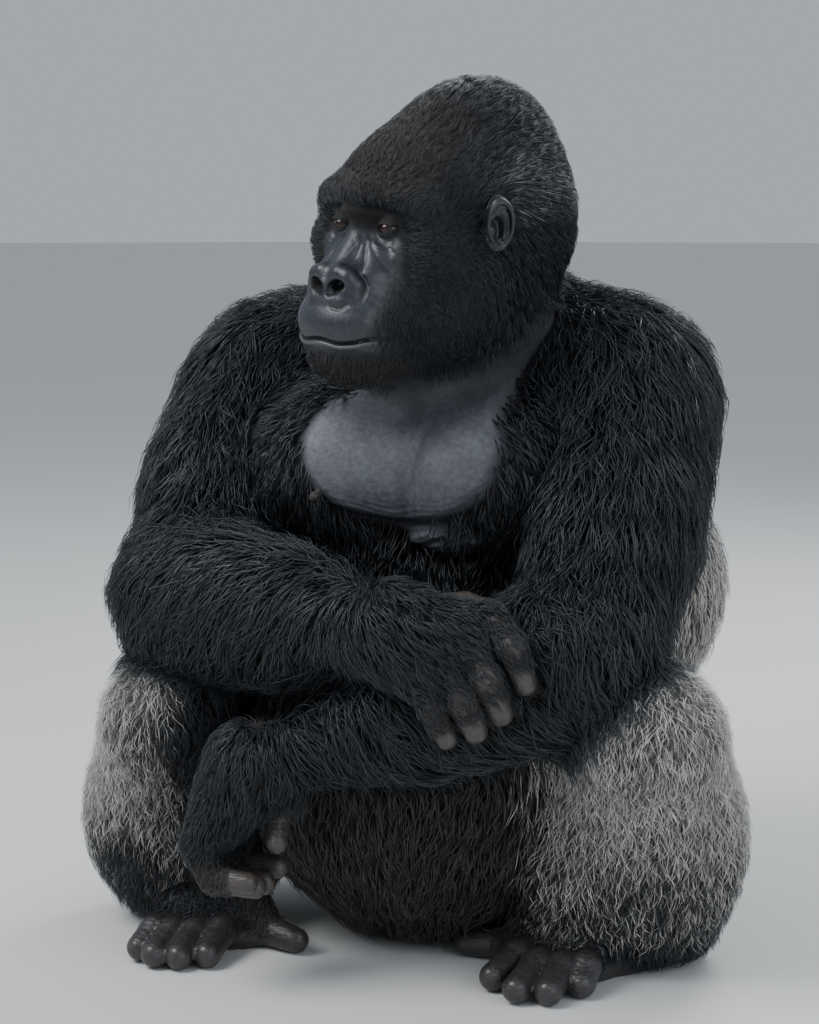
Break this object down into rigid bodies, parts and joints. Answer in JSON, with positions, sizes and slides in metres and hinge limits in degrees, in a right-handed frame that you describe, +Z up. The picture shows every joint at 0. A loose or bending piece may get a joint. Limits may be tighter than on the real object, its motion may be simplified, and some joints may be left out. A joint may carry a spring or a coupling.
{
  "type": "seated gorilla figure",
  "caption": "Life-size still figure of an adult male silverback gorilla sitting on the ground, arms crossed over its drawn-up knees.",
  "frame": {"origin": "on the ground, under the middle of the whole outline", "axes": "+Z up; the trunk faces -Y and the animal's left side is +X; the head is turned to its right"},
  "size_m": [0.8528, 0.7948, 1.0543],
  "materials": {
    "black_coat": "long shaggy blue-black hair with a soft cool sheen",
    "silver_coat": "grizzled silver-grey hair over dark skin, near black low on the legs",
    "dark_skin": "bare blue-grey to brown-black skin with fine wrinkles and a soft shine",
    "eye": "wet dark brown eye"
  },
  "bodies": {
    "root": {"eye_right": "eye", "eye_left": "eye", "neck": "black_coat", "head": "black_coat", "ear_right": "dark_skin", "ear_left": "dark_skin", "hand_right": "black_coat", "hand_left": "black_coat", "finger_index_right": "dark_skin", "finger_middle_right": "dark_skin", "finger_ring_right": "dark_skin", "finger_little_right": "dark_skin", "thumb_right": "dark_skin", "finger_index_left": "dark_skin", "finger_middle_left": "dark_skin", "finger_ring_left": "dark_skin", "finger_little_left": "dark_skin", "thumb_left": "dark_skin", "forearm_right": "black_coat", "forearm_left": "black_coat", "upper_arm_right": "black_coat", "upper_arm_left": "black_coat", "shin_right": "silver_coat", "foot_right": "dark_skin", "toe_second_right": "dark_skin", "toe_third_right": "dark_skin", "toe_fourth_right": "dark_skin", "toe_fifth_right": "dark_skin", "toe_great_right": "dark_skin", "shin_left": "silver_coat", "foot_left": "dark_skin", "toe_second_left": "dark_skin", "toe_third_left": "dark_skin", "toe_fourth_left": "dark_skin", "toe_fifth_left": "dark_skin", "toe_great_left": "dark_skin", "thigh_right": "silver_coat", "thigh_left": "silver_coat", "rump": "silver_coat", "belly": "silver_coat", "chest": "black_coat"}
  },
  "joints": []
}
